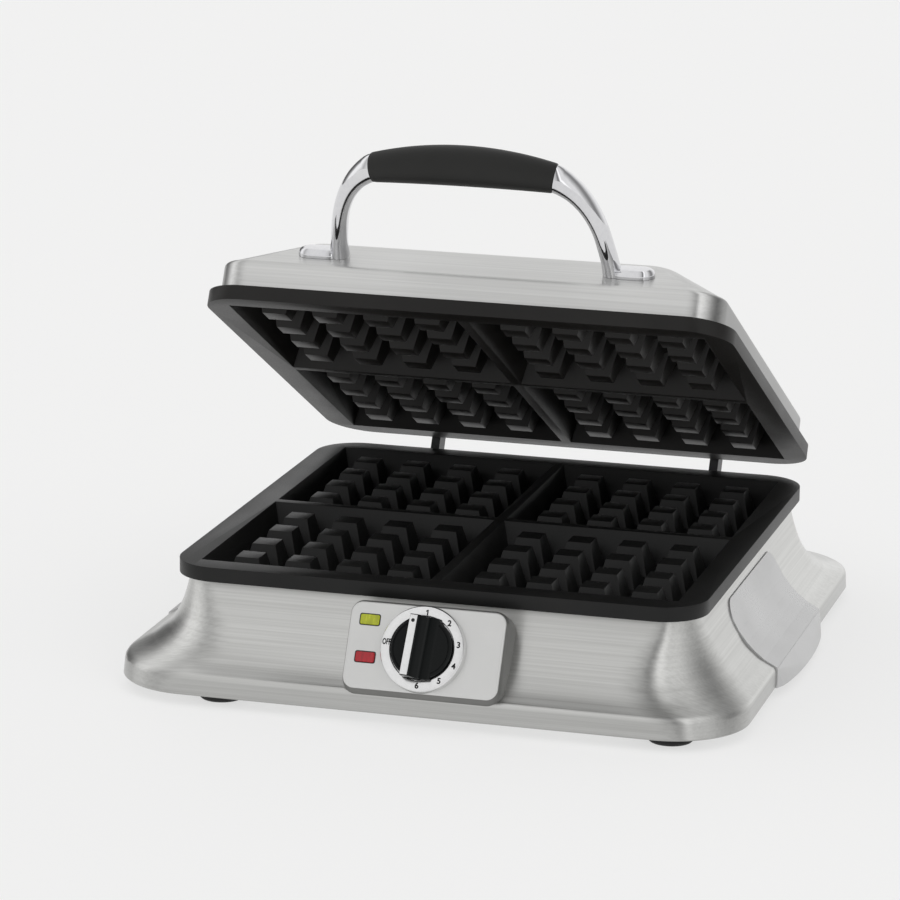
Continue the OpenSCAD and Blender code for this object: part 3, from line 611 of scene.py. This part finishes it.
def print_figure(name, mesh, clock, radius):
    """Lay a figure's mesh on the dial ring."""
    a = math.radians(clock)
    where = (radius * math.sin(a) + 0.3, radius * math.cos(a) - 0.35, DIAL_T + 0.02)
    spot = DIAL @ Matrix.Translation(where)
    mesh.transform(Matrix.Scale(MM, 4) @ spot @ Matrix.Scale(1 / MM, 4))
    piece = bpy.data.objects.new(name, mesh)
    bpy.context.scene.collection.objects.link(piece)
    return dress(piece, "base", "ink")


def figure_one(clock, radius):
    """The figure 1, a stem with a flag."""
    outline = [(-0.30, -1.45), (0.38, -1.45), (0.38, 1.45), (-0.10, 1.45), (-0.90, 0.90), (-0.90, 0.25),
               (-0.30, 0.55)]
    points, faces = skin([[(x, y, z) for x, y in outline] for z in (-0.04, 0.04)])
    mesh = bpy.data.meshes.new("figure_1")
    mesh.from_pydata([Vector(p) * MM for p in points], [], faces)
    return print_figure("figure_1", mesh, clock, radius)


figure_one(1, FIGURE_R)
for count, clock in enumerate((41, 79, 113, 145, 181), 2):
    numeral(str(count), clock, FIGURE_R)
numeral("OFF", -83.5, 19.0, 0.60)


def lamp_lens(color, y):
    """Lamp window with a flange behind the panel."""
    hx, hy, r = LENS_HX, LENS_HY, 0.9
    rows = [(6.4, 3.8, 0.5, -3.4), (6.4, 3.8, 0.5, -2.25), (hx, hy, r, -2.25), (hx, hy, r, 0.15),
            (hx - 0.12, hy - 0.12, r, 0.42), (hx - 0.45, hy - 0.45, r - 0.2, 0.58),
            (hx - 1.2, hy - 0.9, r - 0.3, 0.6)]
    rings = [ring(a, b, c, z, 6) for a, b, c, z in rows]
    return place(color + "_lens_moulding", *skin(rings), "base", color, color + "_lamp", [color + "_lens"],
                 PANEL @ Matrix.Translation((LAMP_X, y, 0)), 25.0)


lamp_lens("green", LAMP_Y[0])
lamp_lens("red", LAMP_Y[1])


def lens_rim(name, y):
    """Thin dark gap line round a lamp window."""
    low, high = -0.3, 0.06
    rows = [(0.5, 1.2, low), (0.5, 1.2, high), (0.04, 0.9, high), (0.04, 0.9, low)]
    rings = [ring(LENS_HX + g, LENS_HY + g, r, z, 6) for g, r, z in rows]
    spot = PANEL @ Matrix.Translation((LAMP_X, y, 0))
    return place(name, *skin(rings, loop=True), "base", "ink", matrix=spot)


lens_rim("green_lens_rim", LAMP_Y[0])
lens_rim("red_lens_rim", LAMP_Y[1])

# ---------------------------------------------------------------- knob


def knob():
    """Turned disc with a ridge across it, a groove for the pointer and a bore for the shaft."""
    edge = KNOB_R
    profile = [(0, 1.6), (edge - 0.3, 1.6), (edge, 1.9), (edge, KNOB_FACE - 0.75),
               (edge - 0.2, KNOB_FACE - 0.3), (edge - 0.7, KNOB_FACE), (edge - 1.3, KNOB_FACE),
               (edge - 1.5, KNOB_FACE - 0.25), (edge - 1.75, KNOB_FACE - 0.25), (edge - 1.95, KNOB_FACE),
               (0, KNOB_FACE)]
    piece = place("control_knob_moulding", *lathe(profile), None, "gloss", matrix=KNOB)
    outline = [(-7.4, 5.2), (-7.1, RIDGE - 0.6), (-6.95, RIDGE - 0.15), (-6.6, RIDGE), (-2.8, RIDGE),
               (-2.3, RIDGE - 0.3), (-1.6, RIDGE - 1.4), (0.6, RIDGE - 3.2), (3.2, RIDGE - 4.4),
               (6.2, RIDGE - 4.9), (7.2, KNOB_FACE), (7.4, 5.2)]
    rings = []
    for y, pull in ((-15.7, 0.7), (-15.5, 0.2), (-15.1, 0), (15.1, 0), (15.5, 0.2), (15.7, 0.7)):
        rings.append([(x * (1 - pull * 0.05), y, min(z, RIDGE - pull * 0.6)) for x, z in outline])
    ridge = place("ridge", *skin(rings), None, "gloss", matrix=KNOB)
    cut(piece, ridge, operation="UNION")
    groove = block("groove", (-6.9, -15.35, RIDGE - 0.7), (-3.0, 15.35, RIDGE + 2), KNOB)
    bore = place("bore", *lathe([(0, 0), (3.0, 0), (3.0, 6.2), (0, 6.2)], 32), None, "gloss", matrix=KNOB)
    cut(piece, groove, bore)
    return dress(piece, "knob", "gloss", ["control_knob"], 25.0)


knob()


def knob_pointer():
    """Bright strip along the ridge, with a black dot near its tip."""
    low = RIDGE - 0.7
    rows = [(1.9, 15.3, 0.3, low), (1.9, 15.3, 0.3, low + 0.75), (1.8, 15.2, 0.3, low + 0.87),
            (1.6, 15.0, 0.3, low + 0.9)]
    strip = skin([ring(a, b, c, z, 4) for a, b, c, z in rows])
    place("knob_pointer_strip", *strip, "knob", "ring", "bright_ring", ["knob_pointer"],
          KNOB @ Matrix.Translation((POINTER_X, 0, 0)), 25.0)
    dot = lathe([(0, low + 0.85), (0.95, low + 0.85), (0.95, low + 0.93), (0, low + 0.93)], 24)
    place("knob_pointer_dot", *dot, "knob", "ink", matrix=KNOB @ Matrix.Translation((POINTER_X, 12.4, 0)))


knob_pointer()

# ---------------------------------------------------------------- lid shell


def roof_rows(t):
    """Half side, corner radius and height of the lid shell, from its lower edge to its roof."""
    rows = [(LID_HALF, 18, BAND_H + 0.05), (LID_HALF, 18, LID_WALL - 2.0),
            (LID_HALF - 0.12, 17.9, LID_WALL - 1.1), (LID_HALF - 0.5, 17.7, LID_WALL - 0.3),
            (LID_HALF - 1.2, 17.4, LID_WALL + 0.4), (SLOPE_Y0, 17, SLOPE_Z0)]
    steps = 8
    for k in range(1, steps):
        s = k / steps
        rows.append((SLOPE_Y0 + (SLOPE_Y1 - SLOPE_Y0) * s, 17 - 3 * s, SLOPE_Z0 + (SLOPE_Z1 - SLOPE_Z0) * s))
    rows.append((SLOPE_Y1, 14, SLOPE_Z1))
    rise, run = LID_TOP - SLOPE_Z1, 14.0
    slope = (SLOPE_Z1 - SLOPE_Z0) / (SLOPE_Y0 - SLOPE_Y1)
    for k in range(1, 9):
        s = k / 8
        height = slope * run * (s - s * s * (1 - s) - s * s * s) + rise * (3 * s * s - 2 * s ** 3)
        rows.append((SLOPE_Y1 - run * s, 14 - 3 * s, SLOPE_Z1 + min(height, rise)))
    return [(h - t, r - t, UP_Z + z - (t if z > LID_WALL - 2.5 else 0)) for h, r, z in rows]


def lid_shell():
    """Sheet-steel lid: an outer and an inner skin joined along the lower edge."""
    outer = [ring(h, h, r, z, 16) for h, r, z in roof_rows(0)]
    inner = [ring(h, h, r, z, 16) for h, r, z in roof_rows(SHELL_T)]
    points, faces = skin(outer)
    faces = faces[:-2]
    more, more_faces = skin(inner)
    shift, m = len(points), len(outer[0])
    faces += [tuple(i + shift for i in f) for f in more_faces[:-2]]
    for rings, start in ((outer, 0), (inner, shift)):
        last = start + (len(rings) - 1) * m
        faces.append(tuple(last + i for i in range(m)))
    faces += [(i, (i + 1) % m, shift + (i + 1) % m, shift + i) for i in range(m)]
    return place("lid_shell_skin", points + more, faces, "lid", "steel_lid", "brushed_stainless",
                 ["lid_shell"], LID, 24.0)


lid_shell()

# ---------------------------------------------------------------- handle


GRIP_HALF = 48.3
GRIP_REACH = 62.3
GRIP_SAG = 4.4
GRIP_R = 10.4
FOOT_HX, FOOT_HY = 11.6, 7.3
FOOT_X, FOOT_Y = 83.2, 16
LEG_END = 44.5


def half_path():
    """Right leg of the handle: across, out, half width and half thickness."""
    leg = 72.6
    return [(leg, 1.0, 4.9, 6.6), (leg - 0.6, 9, 4.4, 6.3), (leg - 2.2, 19, 4.3, 6.2),
            (leg - 4.0, 28, 4.3, 6.2), (leg - 6.6, 36, 4.5, 6.3), (leg - 10.2, 43.5, 4.9, 6.5),
            (leg - 15.0, 50.2, 5.6, 6.8), (leg - 20.0, 54.8, 6.5, 7.1), (GRIP_HALF + 0.1, 57.6, 7.3, 7.4)]


def grip_mid(x):
    """Reach of the grip's centre line, which sags a little towards its ends."""
    return GRIP_REACH - GRIP_SAG * (x / GRIP_HALF) ** 2


def circle(n):
    """Cosine and sine of n even turns."""
    return [(math.cos(2 * math.pi * i / n), math.sin(2 * math.pi * i / n)) for i in range(n)]


def tube(path, n=32):
    """Points and faces of a closed tube through (x, y, half width, half thickness) in the handle's plane."""
    rings = []
    for j, (x, y, w, t) in enumerate(path):
        a, b = path[max(0, j - 1)], path[min(len(path) - 1, j + 1)]
        d = Vector((b[0] - a[0], b[1] - a[1])).normalized()
        rings.append([(x - d.y * w * c, y + d.x * w * c, t * s) for c, s in circle(n)])
    return skin(rings)


def foot_pad(side):
    """Oblong foot of the handle with a rounded upper edge."""
    rings = []
    for z, pull in ((0.12, 0.0), (1.6, 0.0), (2.6, 0.2), (3.4, 0.7), (3.95, 1.5), (4.25, 2.6), (4.35, 3.6)):
        rings.append(ring(FOOT_HX - pull, FOOT_HY - pull, FOOT_HY - pull - 0.01, z, 12))
    name = "handle_foot_right" if side > 0 else "handle_foot_left"
    spot = SLOPE @ Matrix.Translation((side * FOOT_X, FOOT_Y, 0))
    return place(name, *skin(rings), None, "chrome", matrix=spot)


def grip_rings(grow, n):
    """Rings of the sleeve on the handle, its ends slightly rounded."""
    rings = []
    steps = 44
    ends = ((0.0, 0.90), (0.2, 0.96), (0.6, 0.99), (1.2, 1.0))
    xs = [(GRIP_HALF - 0.3 - d + grow, k) for d, k in ends]
    xs += [((GRIP_HALF - 1.6) * math.cos(math.pi * i / steps), 1.0) for i in range(1, steps)]
    xs += [(-x, k) for x, k in reversed(xs[:len(ends)])]
    for x, k in xs:
        r = (GRIP_R - 2.8 * (x / GRIP_HALF) ** 2) * (k if grow == 0 else 1.0) + grow
        d = Vector((1, -2 * GRIP_SAG * x / GRIP_HALF ** 2)).normalized()
        rings.append([(x + d.y * r * c, grip_mid(x) - d.x * r * c, r * s) for c, s in circle(n)])
    return rings


def lid_handle():
    """Chrome bail: two legs cut by the sleeve, a core through it and two feet on the roof."""
    path = [tuple(p) for p in smooth_rows(half_path(), 5)] + [(LEG_END, grip_mid(LEG_END), 7.3, 7.4)]
    mirrored = [(-x, y, w, t) for x, y, w, t in reversed(path)]
    piece = place("lid_handle_bar", *tube(path), None, "chrome", matrix=HANDLE)
    left = place("left_leg", *tube(mirrored), None, "chrome", matrix=HANDLE)
    cut(piece, left, operation="UNION")
    cut(piece, place("sleeve", *skin(grip_rings(0.05, 40)), None, "grip", matrix=HANDLE))
    core = [(x, grip_mid(x), 4.3, 4.3) for x in (50, 40, 30, 15, 0, -15, -30, -40, -50)]
    cut(piece, place("core", *tube(core, 24), None, "chrome", matrix=HANDLE), foot_pad(1), foot_pad(-1),
        operation="UNION")
    cut(piece, block("roof_cut", (-150, -20, -30), (150, 60, 0.1), SLOPE))
    return dress(piece, "lid", "chrome", ["lid_handle"], 40.0)


lid_handle()


def handle_grip():
    """Soft black sleeve with a bore for the core."""
    piece = place("handle_grip_sleeve", *skin(grip_rings(0, 40)), None, "grip", matrix=HANDLE)
    bore = [(x, grip_mid(x), 4.5, 4.5) for x in (60, 50, 40, 30, 15, 0, -15, -30, -40, -50, -60)]
    cut(piece, place("bore", *tube(bore, 24), None, "grip", matrix=HANDLE))
    return dress(piece, "lid", "grip", ["handle_grip"], 35.0)


handle_grip()

# ---------------------------------------------------------------- plates: CAD shapes with rounded edges

refine("lower_plate", "base", "coat_low", 1.1)
refine("upper_plate", "lid", "coat_up", 1.1)

# ---------------------------------------------------------------- looks of the CAD nodes that stay

for look, names in NODE_LOOKS.items():
    for name in names:
        mesh = frame["nodes"][name].data
        mesh.materials.clear()
        mesh.materials.append(MATS[look])

# ---------------------------------------------------------------- camera


def camera():
    """Long lens from the front, a little to the right and above, aimed just off the target."""
    azimuth, elevation, roll = math.radians(14.829), math.radians(14.572), math.radians(0.722)
    distance, lens_mm = 2.2539, 168.27
    target = Vector((0, 0, 0.08))
    back = Vector((math.sin(azimuth) * math.cos(elevation), -math.cos(azimuth) * math.cos(elevation),
                   math.sin(elevation)))
    right = Vector((math.cos(azimuth), math.sin(azimuth), 0))
    up = back.cross(right)
    aim = (-back + right * math.tan(math.radians(-0.704)) + up * math.tan(math.radians(0.571))).normalized()
    right = aim.cross(Vector((0, 0, 1))).normalized()
    up = right.cross(aim)
    across = right * math.cos(roll) + up * math.sin(roll)
    upward = up * math.cos(roll) - right * math.sin(roll)
    data = bpy.data.cameras.new("camera")
    data.lens = lens_mm
    data.sensor_width = 36
    data.clip_end = 60
    view = bpy.data.objects.new("camera", data)
    place_at = target + back * distance
    view.matrix_world = Matrix((
        (across.x, upward.x, -aim.x, place_at.x), (across.y, upward.y, -aim.y, place_at.y),
        (across.z, upward.z, -aim.z, place_at.z), (0, 0, 0, 1)))
    bpy.context.scene.collection.objects.link(view)
    bpy.context.scene.camera = view


camera()

# ---------------------------------------------------------------- studio


def floor():
    """Wide pale floor that glows a little, so that it meets the background."""
    n = Nodes("studio_floor")
    fine = n.noise((3, 3, 3), 2)
    tint = n.mix(n.ramp(fine, 0.3, 0.7, 0.0, 1.0), rgb(0.360, 0.360, 0.359), rgb(0.362, 0.362, 0.361))
    n.bump(fine, 0.02, 0.0005)
    n.feed(n.bsdf.inputs["Emission Color"], rgb(1.0, 1.0, 0.997))
    n.finish(tint, 0.9, Specular_IOR_Level=0.0, Emission_Strength=0.60)
    mesh = bpy.data.meshes.new("studio_floor")
    half = 12.0
    corners = [(-half, -half, 0), (half, -half, 0), (half, half, 0), (-half, half, 0)]
    mesh.from_pydata(corners, [], [(0, 1, 2, 3)])
    mesh.materials.append(n.mat)
    piece = bpy.data.objects.new("studio_floor", mesh)
    bpy.context.scene.collection.objects.link(piece)


floor()


# The studio is a fan of upright soft boxes and flags that meet in front of and behind the object. FAN gives
# the brightness that a wall facing this many degrees right of the front picks up.
FAN_AXIS = Vector((-0.26, 0.935, -0.242))
FAN = ((-90, 0.30), (-60, 0.10), (-53, 0.20), (-47, 0.50), (-42, 1.15), (-34, 1.15), (-29, 0.90),
       (-22, 0.56), (-15, 0.74), (-8, 0.88), (0, 0.92), (10, 0.80), (17, 0.62), (21, 0.22), (24, 0.40),
       (27, 1.45), (29, 1.45), (32, 0.98), (42, 0.98), (50, 0.62), (59, 0.30), (66, 0.30), (75, 0.70),
       (83, 0.98), (90, 1.0))
CEILING = 0.98


def fan_level(tree, facing):
    """Brightness of the fan for a wall's facing direction."""
    front = tree.math("MULTIPLY", facing["Y"], -1.0)
    turn = tree.math("ARCTAN2", facing["X"], front)
    along = tree.math("MULTIPLY_ADD", turn, 1 / math.pi, 0.5)
    strip = tree.add("ShaderNodeValToRGB", {"Fac": along})
    stops = strip.color_ramp.elements
    while len(stops) < len(FAN):
        stops.new(0.5)
    for stop, (angle, level) in zip(stops, FAN):
        stop.position = (angle + 90) / 180
        stop.color = (level / 2, level / 2, level / 2, 1)
    return tree.math("MULTIPLY", strip.outputs["Color"], 2.0)


def studio_light():
    """World light: the fan round the sides, blended into an even ceiling."""
    world = bpy.data.worlds.new("studio")
    bpy.context.scene.world = world
    world.use_nodes = True
    tree = Tree(world.node_tree)
    where = tree.add("ShaderNodeTexCoord").outputs["Generated"]
    halfway = tree.add("ShaderNodeVectorMath", {0: where, 1: FAN_AXIS}, operation="SUBTRACT")
    facing = tree.add("ShaderNodeVectorMath", {0: halfway.outputs["Vector"]}, operation="NORMALIZE")
    parts = tree.add("ShaderNodeSeparateXYZ", {0: facing.outputs["Vector"]}).outputs
    overhead = tree.add("ShaderNodeMapRange", {"Value": parts["Z"], "From Min": 0.93, "From Max": 0.99},
                        interpolation_type="SMOOTHSTEP").outputs["Result"]
    background = world.node_tree.nodes["Background"]
    tree.feed(background.inputs["Strength"], tree.blend(overhead, fan_level(tree, parts), CEILING))
    background.inputs["Color"].default_value = (1, 1, 1, 1)


studio_light()

bpy.context.scene.view_settings.view_transform = "Standard"
